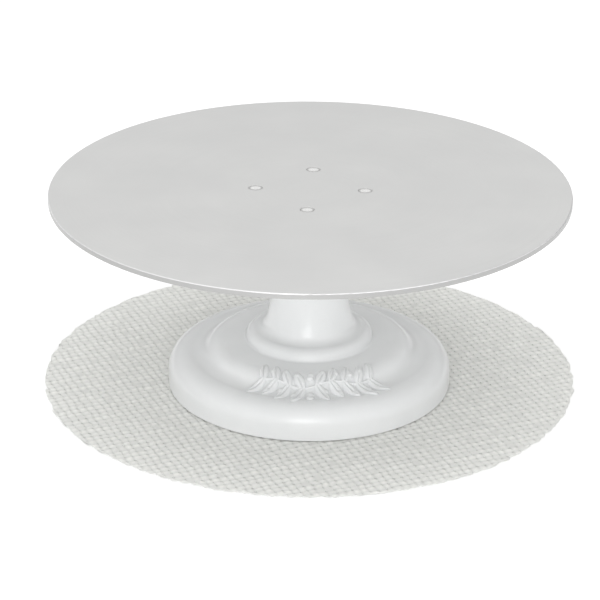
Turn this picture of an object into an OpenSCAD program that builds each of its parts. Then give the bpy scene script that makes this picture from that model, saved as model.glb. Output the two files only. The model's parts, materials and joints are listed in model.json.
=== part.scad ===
// Cake turntable: a round aluminium plate that spins by hand on an enamelled cast-iron pedestal.
// The pedestal stands on a loose round non-slip mat. Units are millimetres, +Z is up along the spindle,
// +Y is the back, and Z = 0 is the mat's underside. Every module draws its sub-part in its working place.

/* [Plate] */
// Diameter of the plate
plate_dia = 304.8; // [250:0.1:400]
// Thickness of the plate
plate_thick = 3.2; // [2:0.1:6]
// Height of the plate's top face above the table
plate_top_z = 124; // [100:0.1:160]
// Rounding of the plate's upper rim
plate_rim_r = 0.5; // [0.2:0.1:1.5]

/* [Rivets] */
// Number of rivets that hold the plate on its hub
rivet_count = 4; // [3:1:8]
// Pitch circle diameter of the rivets
rivet_pcd = 64; // [40:1:90]
// Diameter of the flush rivet head
rivet_head_dia = 8; // [5:0.1:12]
// Diameter of the rivet shank
rivet_shank_dia = 6; // [3:0.1:8]
// Angle of the first rivet, seen from above
rivet_turn = -3.3; // [-45:0.1:45]

/* [Hub] */
// Diameter of the hub flange under the plate
hub_flange_dia = 84; // [70:1:140]
// Thickness of the hub flange
hub_flange_thick = 4; // [3:0.1:8]
// Diameter of the hub barrel
hub_barrel_dia = 41; // [36:0.5:50]

/* [Spindle and bearing] */
// Diameter of the spindle
spindle_dia = 16; // [12:0.1:20]
// Radial running clearance between the spindle and its bushes
run_gap = 0.05; // [0.01:0.01:0.1]
// Number of balls in the thrust bearing
ball_count = 12; // [8:1:14]
// Diameter of a thrust ball
ball_dia = 5; // [4:0.1:6]

/* [Pedestal] */
// Outer diameter of the pedestal's foot ring
foot_dia = 168; // [140:0.1:220]
// Diameter of the column just above its flare
column_dia = 45.8; // [40:0.1:60]
// Diameter of the column at its top
column_top_dia = 43; // [40:0.1:60]

/* [Mat] */
// Diameter of the non-slip mat
mat_dia = 318; // [280:1:360]
// Thickness of the non-slip mat
mat_thick = 2; // [1:0.1:3]
// Distance of the mat's centre behind the spindle
mat_back = 9; // [0:0.5:20]

/* [Hidden] */
$fn = 96;
eps = 0.01;
over = 1;

// Levels of the plate, hub and thrust bearing, from the top down
plate_low_z = plate_top_z - plate_thick;
flange_low_z = plate_low_z - hub_flange_thick;
barrel_height = 9;
bearing_top_z = flange_low_z - barrel_height;
bearing_height = 10;
seat_z = bearing_top_z - bearing_height;
column_top_z = bearing_top_z - 2.2;

// Thrust bearing
washer_thick = 3;
washer_out_r = 17.5;
washer_in_r = 10.5;
ball_pitch_r = 13.9;
race_r = 2.8;
ball_z = seat_z + bearing_height / 2;
ball_slack = 0.01;
cage_thick = 3.2;
cage_in_r = 10.4;
cage_out_r = 17.3;
pocket_gap = 0.1;
seat_gap = 0.05;
spigot_r = 9.98;
spigot_len = 5.7;

// Spindle, bushes and the ring that keeps the spindle in
spindle_r = spindle_dia / 2;
bush_out_r = 11;
bush_len = 21;
boss_low_z = 20;
boss_r = 17;
spindle_low_z = 13;
ring_groove_r = 7.5;
ring_low_z = 17.1;
ring_thick = 1.1;
ring_out_r = 10.8;
keeper_thick = 1.6;
keeper_out_r = 13;
core_r = 13.5;
core_low_z = boss_low_z + bush_len + 5;
core_top_z = seat_z - bush_len - 3;
cap_wall = 1.2;
cap_low_z = 9;
cap_top_z = 28;

// Set screws
screw_r = 2.5;
screw_len = 8;
screw_z = bearing_top_z + 3.9;
hex_r = 1.44;
hex_depth = 3;

// Pedestal outline: foot roll, cove, outer bead, flat shelf, inner bead and the flared neck
foot_z = mat_thick;
foot_r = foot_dia / 2;
foot_edge_r = 0.4;
shelf_z = 30.3;
bead2_r = 11;
bead2_c = [51.5, shelf_z - bead2_r];
ogee_turn = 55;
cove_r = 9.2;
cove_c = bead2_c + (bead2_r + cove_r) * [sin(ogee_turn), cos(ogee_turn)];
roll_r = 11.4;
roll_x = foot_r - roll_r;
roll_c = [roll_x, cove_c[1] - sqrt(pow(cove_r + roll_r, 2) - pow(roll_x - cove_c[0], 2))];
bead1_r = 5.7;
bead1_c = [32, 31];
corner_r = 1.5;
corner_dz = shelf_z + corner_r - bead1_c[1];
corner_c = bead1_c + [sqrt(pow(bead1_r + corner_r, 2) - pow(corner_dz, 2)), corner_dz];
neck_r = column_dia / 2;
neck_z = 60;
sweep_r = 60;
sweep_c = [neck_r + sweep_r, neck_z];
fillet_r = 6;
fillet_z = bead1_c[1] + bead1_r + fillet_r;
fillet_dz = neck_z - fillet_z;
fillet_c = [sweep_c[0] - sqrt(pow(sweep_r - fillet_r, 2) - pow(fillet_dz, 2)), fillet_z];
blend_p = sweep_c + sweep_r / (sweep_r - fillet_r) * (fillet_c - sweep_c);

// Hollow under the pedestal
wall = 5.5;
hollow_roll_r = roll_r - wall;
hollow_bead_r = bead2_r - wall;
hollow_cove_z = cove_c[1] - cove_r - wall;
hollow_roll_c = [roll_c[0], hollow_cove_z - hollow_roll_r];
hollow_neck_r = 32.5;
hollow_neck_z = 30.8;

// A ring or disc between two levels; an inner radius of 0 makes a disc
module band(r_out, r_in, z_low, z_high) {
    translate([0, 0, z_low])
    difference() {
        cylinder(h = z_high - z_low, r = r_out);
        if (r_in > 0) {
            translate([0, 0, -over])
            cylinder(h = z_high - z_low + 2 * over, r = r_in);
        }
    }
}

// Area inside an outline of points, less the round of a concave corner
module coved(points, centre, radius) {
    difference() {
        polygon(points);
        translate(centre)
        circle(r = radius);
    }
}

// Repeats its child at each rivet position
module at_rivets() {
    for (i = [0 : rivet_count - 1]) {
        rotate([0, 0, rivet_turn + i * 360 / rivet_count])
        translate([rivet_pcd / 2, 0, 0])
        children();
    }
}

// Flat aluminium disc with a rounded upper rim and countersunk rivet holes
module plate() {
    hole_gap = 0.05;
    head_gap = 0.25;
    sink_depth = 2;
    hole_r = rivet_shank_dia / 2 + hole_gap;
    color([0.80, 0.80, 0.79])
    difference() {
        rotate_extrude() {
            square_top = plate_thick - plate_rim_r;
            translate([0, plate_low_z])
            square([plate_dia / 2, square_top]);
            translate([0, plate_low_z])
            square([plate_dia / 2 - plate_rim_r, plate_thick]);
            translate([plate_dia / 2 - plate_rim_r, plate_low_z + square_top])
            circle(r = plate_rim_r);
        }
        at_rivets() {
            translate([0, 0, plate_low_z - over])
            cylinder(h = plate_thick + 2 * over, r = hole_r);
            translate([0, 0, plate_top_z - sink_depth])
            cylinder(h = sink_depth + eps, r1 = hole_r, r2 = rivet_head_dia / 2 + head_gap);
        }
    }
}

// Flush-headed rivets: a slightly dished head above, a shank, and a closed button below
module plate_rivets() {
    head_drop = 0.1;
    sink_depth = 1.9;
    dish_r = 26;
    dish_depth = 0.25;
    button_r = 5;
    button_h = 2;
    dome_r = (button_r * button_r + button_h * button_h) / (2 * button_h);
    head_top_z = plate_top_z - head_drop;
    shank_r = rivet_shank_dia / 2;
    color([0.72, 0.72, 0.72])
    at_rivets() {
        difference() {
            union() {
                translate([0, 0, flange_low_z - eps])
                cylinder(h = head_top_z - sink_depth - flange_low_z + 2 * eps, r = shank_r);
                translate([0, 0, head_top_z - sink_depth])
                cylinder(h = sink_depth, r1 = shank_r, r2 = rivet_head_dia / 2);
            }
            translate([0, 0, head_top_z + dish_r - dish_depth])
            sphere(r = dish_r);
        }
        translate([0, 0, flange_low_z])
        intersection() {
            translate([0, 0, dome_r - button_h])
            sphere(r = dome_r);
            translate([0, 0, -button_h - over])
            cylinder(h = button_h + over, r = button_r);
        }
    }
}

// Flange and barrel that carry the plate; the spigot below centres the upper bearing washer
module hub_flange() {
    hole_gap = 0.05;
    bore_gap = 0.01;
    root_r = 2;
    edge_r = 1;
    barrel_r = hub_barrel_dia / 2;
    flange_r = hub_flange_dia / 2;
    bore_r = spindle_r + bore_gap;
    spigot_low_z = bearing_top_z - spigot_len;
    root_c = [barrel_r + root_r, flange_low_z - root_r];
    color([0.66, 0.67, 0.68])
    difference() {
        rotate_extrude() {
            coved([
                [bore_r, spigot_low_z],
                [spigot_r, spigot_low_z],
                [spigot_r, bearing_top_z],
                [barrel_r, bearing_top_z],
                [barrel_r, root_c[1]],
                root_c,
                [root_c[0], flange_low_z],
                [flange_r - edge_r, flange_low_z],
                [flange_r, flange_low_z + edge_r],
                [flange_r, plate_low_z],
                [bore_r, plate_low_z]
            ], root_c, root_r);
            translate([flange_r - edge_r, flange_low_z + edge_r])
            circle(r = edge_r);
        }
        at_rivets() {
            translate([0, 0, flange_low_z - over])
            cylinder(h = hub_flange_thick + 2 * over, r = rivet_shank_dia / 2 + hole_gap);
        }
        for (a = [45, 135]) {
            rotate([0, 0, a])
            translate([0, 0, screw_z])
            rotate([0, 90, 0])
            cylinder(h = barrel_r + over, r = screw_r + hole_gap);
        }
    }
}

// Two socket set screws that lock the spindle in the hub
module hub_set_screws() {
    color([0.25, 0.25, 0.27])
    for (a = [45, 135]) {
        rotate([0, 0, a])
        translate([spindle_r + eps, 0, screw_z])
        rotate([0, 90, 0])
        difference() {
            cylinder(h = screw_len, r = screw_r);
            translate([0, 0, screw_len - hex_depth])
            linear_extrude(height = hex_depth + over)
            polygon([for (i = [0 : 5]) hex_r * [cos(60 * i), sin(60 * i)]]);
        }
    }
}

// Ground steel spindle, chamfered at both ends, with a groove for the retaining ring
module spindle() {
    chamfer = 1;
    top_z = plate_low_z - 0.1;
    groove_gap = 0.1;
    color([0.70, 0.71, 0.73])
    rotate_extrude() {
        difference() {
            polygon([
                [0, spindle_low_z],
                [spindle_r - chamfer, spindle_low_z],
                [spindle_r, spindle_low_z + chamfer],
                [spindle_r, top_z - chamfer],
                [spindle_r - chamfer, top_z],
                [0, top_z]
            ]);
            translate([ring_groove_r, ring_low_z - groove_gap])
            square([spindle_r, ring_thick + 2 * groove_gap]);
        }
    }
}

// Open spring ring in the spindle's groove
module retaining_ring() {
    opening = 7;
    color([0.30, 0.30, 0.32])
    difference() {
        band(ring_out_r, ring_groove_r + 0.02, ring_low_z, ring_low_z + ring_thick);
        translate([0, -opening / 2, ring_low_z - over])
        cube([ring_out_r + over, opening, ring_thick + 2 * over]);
    }
}

// Plain washer between the retaining ring and the boss
module retaining_washer() {
    color([0.78, 0.66, 0.40])
    band(keeper_out_r, spindle_r + 0.1, ring_low_z + ring_thick, ring_low_z + ring_thick + keeper_thick);
}

// Upper washer of the thrust bearing, turning with the hub
module thrust_upper_washer() {
    shaft_side_r = 10.05;
    color([0.74, 0.75, 0.77])
    rotate_extrude() {
        difference() {
            translate([shaft_side_r, bearing_top_z - washer_thick])
            square([washer_out_r - 0.3 - shaft_side_r, washer_thick]);
            translate([ball_pitch_r, ball_z + ball_dia / 2 + ball_slack - race_r])
            circle(r = race_r);
        }
    }
}

// Moulded cage that spaces the balls and rolls round with them
module thrust_cage() {
    color([0.88, 0.86, 0.80])
    difference() {
        band(cage_out_r, cage_in_r, ball_z - cage_thick / 2, ball_z + cage_thick / 2);
        for (i = [0 : ball_count - 1]) {
            rotate([0, 0, i * 360 / ball_count])
            translate([ball_pitch_r, 0, ball_z - cage_thick])
            cylinder(h = 2 * cage_thick, r = ball_dia / 2 + pocket_gap);
        }
    }
}

// Steel balls of the thrust bearing
module thrust_balls() {
    color([0.82, 0.83, 0.85])
    for (i = [0 : ball_count - 1]) {
        rotate([0, 0, i * 360 / ball_count])
        translate([ball_pitch_r, 0, ball_z])
        sphere(d = ball_dia);
    }
}

// Lower washer of the thrust bearing, sitting in the top of the column
module thrust_lower_washer() {
    color([0.74, 0.75, 0.77])
    rotate_extrude() {
        difference() {
            translate([washer_in_r, seat_z])
            square([washer_out_r - washer_in_r, washer_thick]);
            translate([ball_pitch_r, ball_z - ball_dia / 2 - ball_slack + race_r])
            circle(r = race_r);
        }
    }
}

// Plastic ring on the column's rim that keeps flour and icing sugar out of the bearing
module dust_ring() {
    color([0.90, 0.90, 0.88])
    band(20.3, 17.8, column_top_z, column_top_z + 1.8);
}

// Bronze bush at the top of the column
module upper_bush() {
    color([0.72, 0.53, 0.28])
    band(bush_out_r, spindle_r + run_gap, seat_z - 0.2 - bush_len, seat_z - 0.2);
}

// Bronze bush at the bottom of the column
module lower_bush() {
    color([0.72, 0.53, 0.28])
    band(bush_out_r, spindle_r + run_gap, boss_low_z, boss_low_z + bush_len);
}

// Pressed steel cap that closes the boss and holds the grease in
module grease_cap() {
    boss_gap = 0.03;
    color([0.60, 0.61, 0.62])
    difference() {
        band(boss_r + cap_wall, 0, cap_low_z, cap_top_z);
        band(boss_r + boss_gap, 0, cap_low_z + cap_wall, cap_top_z + over);
    }
}

// Outline of the pedestal from its axis outwards, before hollowing
module pedestal_outline() {
    root_z = fillet_c[1] - fillet_r;
    // Foot: rounded lower edge, upright side and the roll above it
    translate([0, foot_z])
    square([foot_r - foot_edge_r, foot_edge_r + eps]);
    translate([foot_r - foot_edge_r, foot_z + foot_edge_r])
    circle(r = foot_edge_r);
    translate([0, foot_z + foot_edge_r])
    square([foot_r, roll_c[1] - foot_z - foot_edge_r]);
    intersection() {
        translate(roll_c)
        circle(r = roll_r);
        translate([0, roll_c[1]])
        square([foot_dia, foot_dia]);
    }
    // Cove between the roll and the outer bead
    coved([[0, foot_z], [roll_c[0], foot_z], roll_c, cove_c, bead2_c, [0, bead2_c[1]]], cove_c, cove_r);
    // Outer bead and the flat shelf inside it
    translate(bead2_c)
    circle(r = bead2_r);
    translate([0, foot_z])
    square([bead2_c[0], shelf_z - foot_z]);
    // Inner bead and its rounded corner on the shelf
    coved([[0, foot_z], [corner_c[0], foot_z], corner_c, bead1_c, [0, bead1_c[1]]], corner_c, corner_r);
    translate(bead1_c)
    circle(r = bead1_r);
    translate([0, foot_z])
    square([bead1_c[0], bead1_c[1] + bead1_r - foot_z]);
    // Flared root of the neck, in two sweeps
    coved([[0, root_z], [fillet_c[0], root_z], blend_p, [0, blend_p[1]]], fillet_c, fillet_r);
    coved([[0, blend_p[1]], blend_p, [neck_r, neck_z], [0, neck_z]], sweep_c, sweep_r);
    // Column
    polygon([
        [0, neck_z],
        [neck_r, neck_z],
        [column_top_dia / 2, column_top_z - 1],
        [column_top_dia / 2 - 1, column_top_z],
        [0, column_top_z]
    ]);
}

// Everything cut away inside the pedestal: the underside hollow, the bores and the bearing recess
module pedestal_hollow() {
    below = foot_z - over;
    // Under the roll and the cove
    translate([0, below])
    square([hollow_roll_c[0] + hollow_roll_r, hollow_roll_c[1] - below]);
    translate(hollow_roll_c)
    circle(r = hollow_roll_r);
    translate([0, below])
    square([hollow_roll_c[0], hollow_cove_z - below]);
    // Under the outer bead, and under the inner bead round the boss
    translate([boss_r, below])
    square([bead2_c[0] + hollow_bead_r - boss_r, bead2_c[1] - below]);
    translate(bead2_c)
    circle(r = hollow_bead_r);
    translate([boss_r, below])
    square([bead2_c[0] - boss_r, shelf_z - wall - below]);
    translate([boss_r, below])
    square([hollow_neck_r - boss_r, hollow_neck_z - below]);
    // Under the boss, the bores with the core between them, and the bearing recess
    translate([0, below])
    square([boss_r + eps, boss_low_z - below]);
    translate([0, below])
    square([bush_out_r, seat_z - below + over]);
    translate([0, core_low_z])
    square([core_r, core_top_z - core_low_z]);
    translate([0, seat_z])
    square([washer_out_r + seat_gap, column_top_z - seat_z + over]);
}

// Cast-iron pedestal: hollow flared foot, inner boss and column in one casting
module base_casting() {
    color([0.93, 0.94, 0.94])
    rotate_extrude() {
        difference() {
            pedestal_outline();
            pedestal_hollow();
        }
    }
}

// Loose round mat of foam-coated open weave under the pedestal
module non_slip_mat() {
    color([0.84, 0.85, 0.82])
    translate([0, mat_back, 0])
    band(mat_dia / 2, 0, 0, mat_thick);
}

plate();
plate_rivets();
hub_flange();
hub_set_screws();
spindle();
retaining_ring();
retaining_washer();
thrust_upper_washer();
thrust_cage();
thrust_balls();
thrust_lower_washer();
dust_ring();
upper_bush();
lower_bush();
grease_cap();
base_casting();
non_slip_mat();
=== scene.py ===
"""Cake turntable: materials, woven mat, cast relief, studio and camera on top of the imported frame."""
import json
import math
import random

import bpy
from mathutils import Matrix, Vector, noise
from mathutils.bvhtree import BVHTree


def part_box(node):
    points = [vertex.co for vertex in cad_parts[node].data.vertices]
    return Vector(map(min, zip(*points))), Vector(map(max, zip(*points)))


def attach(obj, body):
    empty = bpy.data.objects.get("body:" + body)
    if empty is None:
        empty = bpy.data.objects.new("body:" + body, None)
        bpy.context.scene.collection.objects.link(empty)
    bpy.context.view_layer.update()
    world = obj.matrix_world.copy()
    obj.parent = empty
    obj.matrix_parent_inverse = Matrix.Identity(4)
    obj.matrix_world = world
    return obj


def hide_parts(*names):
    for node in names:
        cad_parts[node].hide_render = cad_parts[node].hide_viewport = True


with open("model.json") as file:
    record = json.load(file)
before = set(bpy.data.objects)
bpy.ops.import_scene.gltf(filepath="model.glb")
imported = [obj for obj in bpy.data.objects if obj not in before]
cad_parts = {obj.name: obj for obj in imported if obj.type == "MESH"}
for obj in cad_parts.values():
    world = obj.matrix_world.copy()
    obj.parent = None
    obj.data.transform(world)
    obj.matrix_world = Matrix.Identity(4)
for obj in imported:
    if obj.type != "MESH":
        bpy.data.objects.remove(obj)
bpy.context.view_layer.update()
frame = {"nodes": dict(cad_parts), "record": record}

MM = 0.001
WHITE = (1.0, 1.0, 1.0, 1.0)


# ---------------------------------------------------------------- camera

def make_camera():
    """Looks down at 24 degrees from the front, through a long lens."""
    elevation = math.radians(23.79)
    roll = math.radians(0.28)
    distance = 1.6
    aim = Vector((-0.0057, 0.0, 0.0534))
    back = Vector((0.0, -math.cos(elevation), math.sin(elevation)))
    right = Vector((1.0, 0.0, 0.0))
    up = back.cross(right)
    tilted_right = right * math.cos(roll) + up * math.sin(roll)
    tilted_up = up * math.cos(roll) - right * math.sin(roll)
    data = bpy.data.cameras.new("camera")
    data.sensor_width = 36.0
    data.lens = 161.9
    data.clip_end = 50.0
    camera = bpy.data.objects.new("camera", data)
    bpy.context.collection.objects.link(camera)
    turn = Matrix((tilted_right, tilted_up, back)).transposed().to_4x4()
    camera.matrix_world = Matrix.Translation(aim + back * distance) @ turn
    bpy.context.scene.camera = camera


# ---------------------------------------------------------------- shader helpers

def node(tree, kind, inputs=None, **settings):
    """Adds a shader node; an input's value may be a number, a colour or another node's output."""
    made = tree.nodes.new(kind)
    for key, value in settings.items():
        setattr(made, key, value)
    for key, value in (inputs or {}).items():
        socket = made.inputs[key]
        if isinstance(value, bpy.types.NodeSocket):
            tree.links.new(value, socket)
        else:
            socket.default_value = value
    return made


def new_material(name, **constants):
    """A material with a Principled shader whose constant sockets are set directly."""
    material = bpy.data.materials.new(name)
    material.use_nodes = True
    shader = material.node_tree.nodes["Principled BSDF"]
    for key, value in constants.items():
        shader.inputs[key.replace("_", " ")].default_value = value
    return material, material.node_tree, shader


def place(tree):
    """Object coordinates: metres in the part's own frame."""
    return tree.nodes.get("place") or node(tree, "ShaderNodeTexCoord", name="place")


def noise_at(tree, scale, detail=2.0, vector=None, roughness=0.5):
    """A noise pattern, scale in waves per metre."""
    vector = vector or place(tree).outputs["Object"]
    inputs = {"Vector": vector, "Scale": scale, "Detail": detail, "Roughness": roughness}
    return node(tree, "ShaderNodeTexNoise", inputs).outputs["Fac"]


def stretch(tree, value, low, high, to_low=0.0, to_high=1.0):
    """Maps value from the range low to high onto the range to_low to to_high, and clamps it."""
    made = node(tree, "ShaderNodeMapRange", {"Value": value, "From Min": low, "From Max": high,
                                             "To Min": to_low, "To Max": to_high})
    return made.outputs["Result"]


def between(tree, factor, dark, light):
    """A colour between dark and light."""
    made = tree.nodes.new("ShaderNodeMix")
    made.data_type = "RGBA"
    tree.links.new(factor, made.inputs["Factor"])
    for socket, colour in ((made.inputs[6], dark), (made.inputs[7], light)):
        if isinstance(colour, bpy.types.NodeSocket):
            tree.links.new(colour, socket)
        else:
            socket.default_value = (*colour, 1.0)
    return made.outputs[2]


def grey(value):
    """A colour with three equal parts."""
    return (value, value, value)


def multiply(tree, a, b):
    return node(tree, "ShaderNodeMath", {0: a, 1: b}, operation="MULTIPLY").outputs[0]


def add(tree, a, b):
    return node(tree, "ShaderNodeMath", {0: a, 1: b}, operation="ADD").outputs[0]


def subtract(tree, a, b):
    return node(tree, "ShaderNodeMath", {0: a, 1: b}, operation="SUBTRACT").outputs[0]


def axes(tree, vector):
    """The X, Y and Z of a vector."""
    return node(tree, "ShaderNodeSeparateXYZ", {"Vector": vector}).outputs


def from_axis(tree):
    """The part of the place that is square to the Z axis, and its length."""
    spot = place(tree).outputs["Object"]
    flat = node(tree, "ShaderNodeVectorMath", {0: spot, 1: (1.0, 1.0, 0.0)}, operation="MULTIPLY").outputs[0]
    length = node(tree, "ShaderNodeVectorMath", {0: flat}, operation="LENGTH")
    return flat, length.outputs["Value"]


def bump(tree, shader, height, depth, strength=1.0):
    """Bumps of a real depth in metres."""
    made = node(tree, "ShaderNodeBump", {"Height": height, "Distance": depth, "Strength": strength})
    tree.links.new(made.outputs["Normal"], shader.inputs["Normal"])


def turned(tree, lines_per_metre):
    """Coordinates that draw a noise out round the Z axis, as turning or polishing marks."""
    height = axes(tree, place(tree).outputs["Object"])["Z"]
    flat, radius = from_axis(tree)
    swept = axes(tree, node(tree, "ShaderNodeVectorMath", {0: flat}, operation="NORMALIZE").outputs[0])
    along = multiply(tree, add(tree, radius, height), lines_per_metre)
    return node(tree, "ShaderNodeCombineXYZ", {"X": swept["X"], "Y": swept["Y"], "Z": along}).outputs[0]


# ---------------------------------------------------------------- materials

def plate_aluminium():
    """Satin sheet: faint polishing marks round the centre and a soft mottle. The rounded top edge is a
    little smoother and painted lighter, a painted highlight, and the side below it is painted darker, a
    painted dark reflection."""
    material, tree, shader = new_material("plate_aluminium", Metallic=1.0)
    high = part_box("plate")[1]
    rounding = 0.5 * MM
    height = axes(tree, place(tree).outputs["Object"])["Z"]
    radius = from_axis(tree)[1]
    side = stretch(tree, height, high.z - 0.8 * rounding, high.z - 1.2 * rounding)
    edge = stretch(tree, radius, high.x - 1.1 * rounding, high.x - 0.8 * rounding)
    marks = noise_at(tree, 1.0, 3.0, turned(tree, 2400.0))
    mottle = noise_at(tree, 26.0, 4.0)
    grain = noise_at(tree, 1900.0, 2.0)
    tone = add(tree, multiply(tree, marks, 0.35), multiply(tree, mottle, 0.65))
    face = between(tree, stretch(tree, tone, 0.3, 0.7), (0.72, 0.722, 0.715), (0.775, 0.776, 0.767))
    # painted highlight: the outer edge band is painted a lighter grey
    face_with_painted_highlight = between(tree, edge, face, grey(0.84))
    # painted shade: the side below the rounding is painted a darker grey, standing in for a dark reflection
    colour = between(tree, multiply(tree, edge, side), face_with_painted_highlight, (0.47, 0.47, 0.465))
    satin = stretch(tree, tone, 0.3, 0.7, 0.36, 0.44)
    tree.links.new(colour, shader.inputs["Base Color"])
    tree.links.new(subtract(tree, satin, multiply(tree, edge, 0.05)), shader.inputs["Roughness"])
    bump(tree, shader, add(tree, marks, multiply(tree, grain, 0.6)), 0.012 * MM)
    return material


def metal(name, dark, light, rough, lines, depth):
    """Turned or ground metal. Rough is its range of roughness, lines its marks a metre, and depth the
    marks' depth in millimetres."""
    material, tree, shader = new_material(name, Metallic=1.0)
    marks = noise_at(tree, 1.0, 3.0, turned(tree, lines))
    patches = noise_at(tree, 160.0, 3.0)
    tone = add(tree, multiply(tree, marks, 0.6), multiply(tree, patches, 0.4))
    colour = between(tree, stretch(tree, tone, 0.3, 0.7), dark, light)
    tree.links.new(colour, shader.inputs["Base Color"])
    tree.links.new(stretch(tree, patches, 0.3, 0.7, *rough), shader.inputs["Roughness"])
    bump(tree, shader, marks, depth * MM)
    return material


def rivet_aluminium():
    """Rivet heads: a dished face painted bright, a painted highlight, inside an edge painted dark as painted
    shade, told apart by the dish's depth.
    """
    material, tree, shader = new_material("rivet_aluminium", Metallic=1.0)
    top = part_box("plate_rivets")[1].z
    height = axes(tree, place(tree).outputs["Object"])["Z"]
    dish = stretch(tree, height, top - 0.02 * MM, top - 0.12 * MM)
    scuffs = noise_at(tree, 1400.0, 3.0)
    scuffed_painted_highlight = between(tree, stretch(tree, scuffs, 0.3, 0.7), (0.80, 0.80, 0.79), (0.95, 0.95, 0.94))
    # painted highlight on the dished face and painted shade on the head's edge, set by the dish's depth; the
    # scuffs are random tone
    tree.links.new(between(tree, dish, (0.56, 0.56, 0.55), scuffed_painted_highlight), shader.inputs["Base Color"])
    tree.links.new(stretch(tree, dish, 0.0, 1.0, 0.5, 0.24), shader.inputs["Roughness"])
    bump(tree, shader, scuffs, 0.01 * MM)
    return material


def white_enamel():
    """Thick glossy enamel over cast iron, slightly wavy, with a fine orange-peel."""
    material, tree, shader = new_material("white_enamel", Roughness=0.32, Specular_IOR_Level=0.4,
                                          Coat_Weight=0.5, Coat_Roughness=0.2, Coat_IOR=1.5)
    tint = noise_at(tree, 30.0, 3.0)
    specks = noise_at(tree, 900.0, 2.0)
    tone = add(tree, multiply(tree, tint, 0.8), multiply(tree, specks, 0.2))
    colour = between(tree, stretch(tree, tone, 0.35, 0.65), (0.785, 0.797, 0.80), (0.825, 0.835, 0.838))
    tree.links.new(colour, shader.inputs["Base Color"])
    waves = noise_at(tree, 55.0, 2.0)
    bump(tree, shader, add(tree, waves, multiply(tree, specks, 0.02)), 0.35 * MM, 0.5)
    return material


def mat_foam():
    """Foam-coated yarn with a fine open grain: painted shade makes the hollows greyer and the ridges paler,
    with random blotches.
    """
    material, tree, shader = new_material("mat_foam", Roughness=0.75, Specular_IOR_Level=0.25,
                                          Sheen_Weight=0.15, Sheen_Roughness=0.6)
    # painted shade: the colour goes from grey low in the hollows to pale high on the ridges
    height = stretch(tree, axes(tree, place(tree).outputs["Object"])["Z"], 1.2 * MM, 1.95 * MM)
    blotch = noise_at(tree, 90.0, 3.0)
    grain = noise_at(tree, 2600.0, 3.0)
    tone = add(tree, multiply(tree, height, 0.75), multiply(tree, blotch, 0.35))
    colour = between(tree, stretch(tree, tone, 0.1, 1.0), (0.72, 0.725, 0.70), (0.98, 0.98, 0.945))
    tree.links.new(colour, shader.inputs["Base Color"])
    bump(tree, shader, grain, 0.12 * MM, 0.7)
    return material


def nylon():
    """Moulded natural nylon, slightly translucent."""
    material, tree, shader = new_material("nylon", Subsurface_Weight=0.15, Subsurface_Scale=0.001)
    blotch = noise_at(tree, 220.0, 3.0)
    colour = between(tree, blotch, (0.72, 0.71, 0.66), (0.80, 0.79, 0.75))
    tree.links.new(colour, shader.inputs["Base Color"])
    tree.links.new(stretch(tree, blotch, 0.3, 0.7, 0.38, 0.5), shader.inputs["Roughness"])
    bump(tree, shader, noise_at(tree, 3000.0), 0.01 * MM)
    return material


# Darkest and lightest colour, range of roughness, marks a metre, and the marks' depth in millimetres
METALS = {
    "hub_aluminium": ((0.55, 0.56, 0.57), (0.66, 0.67, 0.68), (0.35, 0.5), 1800.0, 0.03),
    "black_steel": ((0.035, 0.035, 0.04), (0.07, 0.07, 0.075), (0.35, 0.5), 1500.0, 0.01),
    "ground_steel": ((0.56, 0.57, 0.58), (0.66, 0.67, 0.68), (0.16, 0.28), 5000.0, 0.01),
    "bronze": ((0.46, 0.28, 0.11), (0.60, 0.40, 0.18), (0.3, 0.45), 2500.0, 0.01),
    "bearing_steel": ((0.58, 0.59, 0.60), (0.66, 0.67, 0.68), (0.14, 0.22), 4000.0, 0.01),
    "ball_steel": ((0.66, 0.67, 0.68), (0.72, 0.73, 0.74), (0.05, 0.10), 300.0, 0.002),
    "cap_steel": ((0.46, 0.48, 0.50), (0.58, 0.60, 0.61), (0.28, 0.42), 600.0, 0.01),
}


def make_materials():
    """One material for each slot of the record."""
    materials = {name: metal(name, *look) for name, look in METALS.items()}
    materials["plate_aluminium"] = plate_aluminium()
    materials["rivet_aluminium"] = rivet_aluminium()
    materials["white_enamel"] = white_enamel()
    materials["mat_foam"] = mat_foam()
    materials["nylon"] = nylon()
    return materials


def dress_frame(materials):
    """Gives every CAD node the material of its slot in the record."""
    for part in frame["record"]["subparts"]:
        for slot in frame["nodes"][part["node"]].material_slots:
            slot.material = materials[part["material_slot"]]


# ---------------------------------------------------------------- the woven mat

def new_piece(name, points, faces, material, body):
    """A smooth-shaded mesh that rides on a body."""
    mesh = bpy.data.meshes.new(name)
    mesh.from_pydata(points, [], faces)
    mesh.polygons.foreach_set("use_smooth", [True] * len(mesh.polygons))
    mesh.materials.append(material)
    mesh.update()
    piece = bpy.data.objects.new(name, mesh)
    bpy.context.collection.objects.link(piece)
    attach(piece, body)
    return piece


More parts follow.
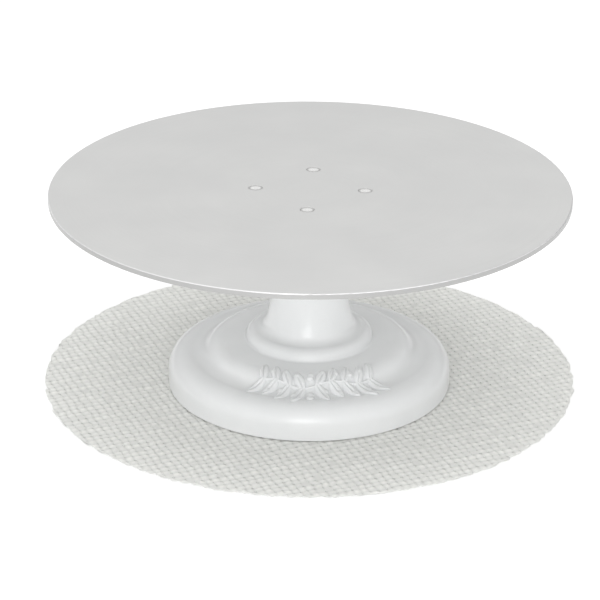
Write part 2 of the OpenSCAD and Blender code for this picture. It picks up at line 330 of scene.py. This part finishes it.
class Weave:
    """A grid of pillows in foam-coated yarn, joined along their sides, with a small hole at each corner.

    Rows run along u. One row in three is a raised cord and the two between are lower. Every pillow has
    4 x 4 faces above and 4 below; where four pillows meet, a diamond hole has one point on each side."""

    # The grid: a pillow's length along u, where each row of a period starts across the rows, and the
    # angle from X to u
    PITCH = 4.5 * MM
    ROWS = (0.0, 5.2 * MM, 9.7 * MM)
    PERIOD = 14.0 * MM
    TURN = math.radians(22.5)
    STEPS = 4

    # Heights of a hole's points, of a pillow's sides and of its underside's edge
    JOIN_Z = 1.2 * MM
    SIDE_Z = 1.3 * MM
    UNDER_Z = 0.55 * MM

    # Half a hole's width
    HOLE = 0.14 * MM

    # How far a pillow's top lies below the mat's, on a cord and between cords, by how much that varies,
    # and how steeply a pillow swells
    CORD_DROP = 0.02 * MM
    LOW_DROP = 0.12 * MM
    UNEVEN_DROP = 0.2 * MM
    SWELL = 1.25

    # Gives the same heights and the same straying on each run
    SEED = 7

    # How far the yarn strays from the grid, and the waves per metre of the straying
    WANDER = 1.2 * MM
    WANDER_WAVE = 150.0
    FINE_WANDER = 0.5 * MM
    FINE_WAVE = 420.0

    # The rim: how far it strays in and out, in waves per metre too, and how far inside the mat's
    # radius its middle lies
    RAGGED = 1.2 * MM
    RAGGED_WAVE = 100.0
    RIM_INSET = 0.45 * RAGGED

    # Pillows with their middles less than OVERHANG past the mat's radius are made. Points past the rim
    # keep a SQUASH share of their distance from it, and lie flat once they are FLATTEN past it
    OVERHANG = 1.2 * MM
    SQUASH = 0.15
    FLATTEN = 2.0 * MM

    def __init__(self, radius, top):
        self.radius = radius
        self.top = top
        self.dice = random.Random(self.SEED)
        self.points = []
        self.faces = []
        self.known = {}
        self.u_axis = Vector((math.cos(self.TURN), math.sin(self.TURN), 0))
        self.v_axis = Vector((-math.sin(self.TURN), math.cos(self.TURN), 0))
        noise.seed_set(self.SEED)

    def row_edge(self, row):
        """Where row number row starts, across the rows."""
        whole, part = divmod(row, len(self.ROWS))
        return whole * self.PERIOD + self.ROWS[part]

    def point(self, key, u, v, z):
        """The number of the point called key, made the first time it's asked for. Points past the
        ragged rim are squashed back towards it, and flattened."""
        if key in self.known:
            return self.known[key]
        spot = self.u_axis * u + self.v_axis * v
        spot += noise.noise_vector(spot * self.WANDER_WAVE) * self.WANDER
        spot += noise.noise_vector(spot * self.FINE_WAVE) * self.FINE_WANDER
        spot.z = z
        flat = Vector((spot.x, spot.y))
        ragged = self.RAGGED * noise.noise(Vector((flat.x, flat.y, 0.0)) * self.RAGGED_WAVE)
        limit = self.radius - self.RIM_INSET + ragged
        past = flat.length - limit
        if past > 0.0:
            flat *= (limit + self.SQUASH * past) / flat.length
            kept = max(0.0, 1.0 - past / self.FLATTEN)
            spot = Vector((flat.x, flat.y, self.JOIN_Z + (z - self.JOIN_Z) * kept))
        self.known[key] = len(self.points)
        self.points.append(spot)
        return self.known[key]

    def rim(self, column, row, side):
        """A point of the hole where pillows meet, on the side E, N, W or S of it."""
        step = {"E": (1, 0), "N": (0, 1), "W": (-1, 0), "S": (0, -1)}[side]
        u = column * self.PITCH + step[0] * self.HOLE
        v = self.row_edge(row) + step[1] * self.HOLE
        return self.point(("rim", column, row, side), u, v, self.JOIN_Z)

    def upper(self, column, row, i, j, peak):
        """A point of a pillow's upper side, i and j steps across it."""
        n = self.STEPS
        low, high = self.row_edge(row), self.row_edge(row + 1)
        u = (column + i / n) * self.PITCH
        v = low + (high - low) * j / n
        swell = 0.0
        if 0 < i < n and 0 < j < n:
            swell = (math.sin(math.pi * i / n) * math.sin(math.pi * j / n)) ** self.SWELL
        z = self.SIDE_Z + (peak - self.SIDE_Z) * swell
        return self.point(("up", column * n + i, row * n + j), u, v, z)

    def lower(self, column, row, i, j):
        """A point of a pillow's underside: 0, 1 or 2 half pillows across it."""
        low, high = self.row_edge(row), self.row_edge(row + 1)
        u = (column + i / 2) * self.PITCH
        v = low + (high - low) * j / 2
        z = 0.0 if i == 1 and j == 1 else self.UNDER_Z
        return self.point(("low", column * 2 + i, row * 2 + j), u, v, z)

    def pillow(self, column, row):
        """Makes one pillow: its upper faces, then its lower ones, which fan out from the middle."""
        n = self.STEPS
        drop = self.CORD_DROP if row % len(self.ROWS) == 0 else self.LOW_DROP
        peak = self.top - drop - abs(self.dice.gauss(0.0, self.UNEVEN_DROP))
        hole = {
            (0, 0): (self.rim(column, row, "E"), self.rim(column, row, "N")),
            (1, 0): (self.rim(column + 1, row, "N"), self.rim(column + 1, row, "W")),
            (1, 1): (self.rim(column + 1, row + 1, "W"), self.rim(column + 1, row + 1, "S")),
            (0, 1): (self.rim(column, row + 1, "S"), self.rim(column, row + 1, "E")),
        }
        for i in range(n):
            for j in range(n):
                around = [(i, j), (i + 1, j), (i + 1, j + 1), (i, j + 1)]
                corners = []
                for a, b in around:
                    if a in (0, n) and b in (0, n):
                        first, second = hole[(a // n, b // n)]
                        corners += [second, first]
                    else:
                        corners.append(self.upper(column, row, a, b, peak))
                self.faces.append(corners)
        middle = self.lower(column, row, 1, 1)
        south, east = self.lower(column, row, 1, 0), self.lower(column, row, 2, 1)
        north, west = self.lower(column, row, 1, 2), self.lower(column, row, 0, 1)
        sides = {(0, 0): (west, south), (1, 0): (south, east), (1, 1): (east, north), (0, 1): (north, west)}
        for corner, (before, after) in sides.items():
            first, second = hole[corner]
            self.faces.append([after, first, second, before, middle])

    def wall(self, column, row, side):
        """Closes a side of a pillow that has no neighbour, from its upper edge to its lower one. The side
        runs from the hole at one corner, through the upper edge's points, to the hole at the next."""
        n = self.STEPS
        first, last, along, half = {
            (0, -1): ((0, 0, "E"), (1, 0, "W"), lambda k: (k, 0), (1, 0)),
            (1, 0): ((1, 0, "N"), (1, 1, "S"), lambda k: (n, k), (2, 1)),
            (0, 1): ((1, 1, "W"), (0, 1, "E"), lambda k: (n - k, n), (1, 2)),
            (-1, 0): ((0, 1, "S"), (0, 0, "N"), lambda k: (0, n - k), (0, 1)),
        }[side]
        start, end = (self.rim(column + i, row + j, way) for i, j, way in (first, last))
        middle = [self.upper(column, row, *along(k), self.top) for k in range(1, n)]
        self.faces.append([end, *middle[::-1], start, self.lower(column, row, *half)])

    def build(self):
        """Makes every pillow whose middle lies near or inside the rim, and walls round the outer ones."""
        reach = self.radius + self.PITCH
        columns = math.ceil(reach / self.PITCH)
        rows = math.ceil(reach / self.PERIOD) * len(self.ROWS)
        cells = []
        for row in range(-rows, rows):
            v = (self.row_edge(row) + self.row_edge(row + 1)) / 2
            for column in range(-columns, columns):
                u = (column + 0.5) * self.PITCH
                if math.hypot(u, v) < self.radius + self.OVERHANG:
                    cells.append((column, row))
        for cell in cells:
            self.pillow(*cell)
        self.first_wall = len(self.faces)
        kept = set(cells)
        for column, row in cells:
            for side in ((0, -1), (1, 0), (0, 1), (-1, 0)):
                if (column + side[0], row + side[1]) not in kept:
                    self.wall(column, row, side)


def make_mat(materials):
    """The woven sheet takes the place of the mat's plain disc. Its cut sides are shaded flat."""
    low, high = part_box("non_slip_mat")
    radius = (high.x - low.x) / 2
    centre = Vector(((low.x + high.x) / 2, (low.y + high.y) / 2, 0))
    weave = Weave(radius, high.z)
    weave.build()
    points = [spot + centre for spot in weave.points]
    piece = new_piece("woven_mat", points, weave.faces, materials["mat_foam"], "base")
    for polygon in piece.data.polygons[weave.first_wall:]:
        polygon.use_smooth = False
    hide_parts("non_slip_mat")


# ---------------------------------------------------------------- cast relief on the pedestal

def near_line(p, a, b):
    """Distance from p to the line from a to b, and the nearest point's share of the way along it."""
    run = b - a
    t = max(0.0, min(1.0, (p - a).dot(run) / run.length_squared))
    return (p - (a + run * t)).length, t


def dome(distance, radius):
    """1 on the middle line and 0 at the radius, rounded."""
    if distance >= radius or radius <= 0.0:
        return 0.0
    return math.sqrt(1.0 - (distance / radius) ** 2)


def stem_at(x):
    """The point of the wavy stem at x, in millimetres."""
    wave, wave_length = 2.0, 5.2
    return Vector((x, wave * math.sin(x / wave_length)))


def relief_height(p):
    """Share of the relief's full height at p, a point on a flat plan in millimetres. It shows a laurel
    spray: a wavy stem, and pairs of leaves and berries that lean away from the middle."""
    pairs, pitch = 9, 7.5
    stem_half, stem_radius, stem_share = 33.0, 1.0, 0.7
    leaf_out, leaf_rise, leaf_radius = 4.8, 10.4, 3.0
    rib_radius, rib_depth = 0.7, 0.5
    berry_in, berry_rise, berry_radius = 3.6, 6.4, 2.1
    best = 0.0
    if abs(p.x) < stem_half:
        best = dome((p - stem_at(p.x)).length, stem_radius) * stem_share
    for pair in range(pairs):
        k = pair - pairs // 2
        root = stem_at(k * pitch)
        lean = 1 if k >= 0 else -1
        for side in (-1, 1):
            tip = root + Vector((leaf_out * lean, leaf_rise * side))
            d, t = near_line(p, root, tip)
            wide = leaf_radius * math.sin(math.pi * (0.12 + 0.84 * t)) ** 0.7
            rib = 1.0 - rib_depth * max(0.0, 1.0 - d / rib_radius)
            best = max(best, dome(d, wide) * rib)
            berry = root + Vector((-berry_in * lean, berry_rise * side))
            best = max(best, dome((p - berry).length, berry_radius))
    return best


def make_relief(materials):
    """The spray is wrapped round the front of the outer bead, and raised along a slanting line as a mould
    would raise it. It fades out where the bead meets the shelf, and its base is sunk in the casting."""
    casting = BVHTree.FromObject(frame["nodes"]["base_casting"], bpy.context.evaluated_depsgraph_get())
    tall, sunk = 2.4 * MM, 0.25 * MM
    wide, half, step = 42.0, 13.0, 0.35
    bead_radius, middle = 57.0, 4.2
    shelf_radius, fade = 46.5 * MM, 3.5 * MM
    slant = math.radians(48.0)
    reach = 0.05
    inward = Vector((0.0, math.cos(slant), -math.sin(slant)))
    rise = Vector((0.0, math.sin(slant), math.cos(slant)))
    centre = Vector((0.0, -60.5, 26.2)) * MM - inward * reach
    columns, rows = int(2 * wide / step) + 1, int(2 * half / step) + 1
    points, faces, raised = [], [], []
    for j in range(rows):
        for i in range(columns):
            p = Vector((-wide + i * step, -half + j * step))
            around = Matrix.Rotation((p.x + middle) / bead_radius, 3, "Z")
            start = around @ (centre + rise * p.y * MM)
            ray = around @ inward
            hit = casting.ray_cast(start, ray)[0] or start + ray * reach
            on_bead = (math.hypot(hit.x, hit.y) - shelf_radius) / fade
            height = relief_height(p) * max(0.0, min(1.0, on_bead))
            points.append(hit - ray * (tall * height - sunk))
            raised.append(height > 0.0)
    for j in range(rows - 1):
        for i in range(columns - 1):
            a = j * columns + i
            corners = (a, a + 1, a + columns + 1, a + columns)
            if any(raised[c] for c in corners):
                faces.append(corners)
    new_piece("cast_relief", points, faces, materials["white_enamel"], "base")


# ---------------------------------------------------------------- studio

def area_light(name, at, aim, size, watts):
    """A rectangular lamp at a place, turned to face another."""
    data = bpy.data.lights.new(name, "AREA")
    data.shape = "RECTANGLE"
    data.size, data.size_y = size
    data.energy = watts
    lamp = bpy.data.objects.new(name, data)
    bpy.context.collection.objects.link(lamp)
    lamp.location = at
    lamp.rotation_euler = (Vector(aim) - Vector(at)).to_track_quat("-Z", "Y").to_euler()


def make_world():
    """Pale surroundings: bright ahead, a little less so to the right, dark near the horizon behind and
    beside, and dim overhead, where the soft box is. The camera itself sees plain white."""
    world = bpy.data.worlds.new("studio")
    bpy.context.scene.world = world
    world.use_nodes = True
    tree = world.node_tree
    where = node(tree, "ShaderNodeTexCoord").outputs["Generated"]
    across, depth, height = axes(tree, where)
    sides = between(tree, stretch(tree, across, -0.7, 0.7), grey(1.1), grey(0.86))
    ahead = between(tree, stretch(tree, depth, -1.0, -0.2), grey(1.3), sides)
    lit = between(tree, stretch(tree, depth, 0.1, 0.7), ahead, grey(0.95))
    dim = between(tree, stretch(tree, depth, -1.0, 0.2), grey(0.95), grey(0.15))
    low = between(tree, stretch(tree, height, 0.0, 0.3), dim, lit)
    light = between(tree, stretch(tree, height, 0.5, 0.85), low, grey(0.32))
    seen = node(tree, "ShaderNodeLightPath").outputs["Is Camera Ray"]
    shade = tree.nodes["Background"]
    tree.links.new(between(tree, seen, light, grey(1.0)), shade.inputs["Color"])
    shade.inputs["Strength"].default_value = 1.0


def make_floor():
    """A plain pale floor, lit a little from within so that it stays white."""
    material, tree, shader = new_material("white_floor", Roughness=0.9, Emission_Strength=0.28,
                                          Emission_Color=WHITE)
    colour = between(tree, noise_at(tree, 3.0), grey(0.86), grey(0.88))
    tree.links.new(colour, shader.inputs["Base Color"])
    reach = 6.0
    corners = [(-reach, -reach, 0), (reach, -reach, 0), (reach, reach, 0), (-reach, reach, 0)]
    mesh = bpy.data.meshes.new("floor")
    mesh.from_pydata(corners, [], [(0, 1, 2, 3)])
    mesh.materials.append(material)
    floor = bpy.data.objects.new("floor", mesh)
    bpy.context.collection.objects.link(floor)


def make_studio():
    """A white sweep with a large soft box above and a small panel ahead."""
    make_world()
    area_light("soft_box_above", (0.0, 0.0, 1.6), (0, 0, 0.05), (2.4, 1.8), 16.0)
    area_light("panel_ahead", (-0.12, -1.6, 0.38), (0, 0, 0.08), (0.6, 0.6), 4.6)
    make_floor()


# ---------------------------------------------------------------- the scene

bpy.context.scene.view_settings.view_transform = "Standard"
make_camera()
materials = make_materials()
dress_frame(materials)
make_mat(materials)
make_relief(materials)
make_studio()
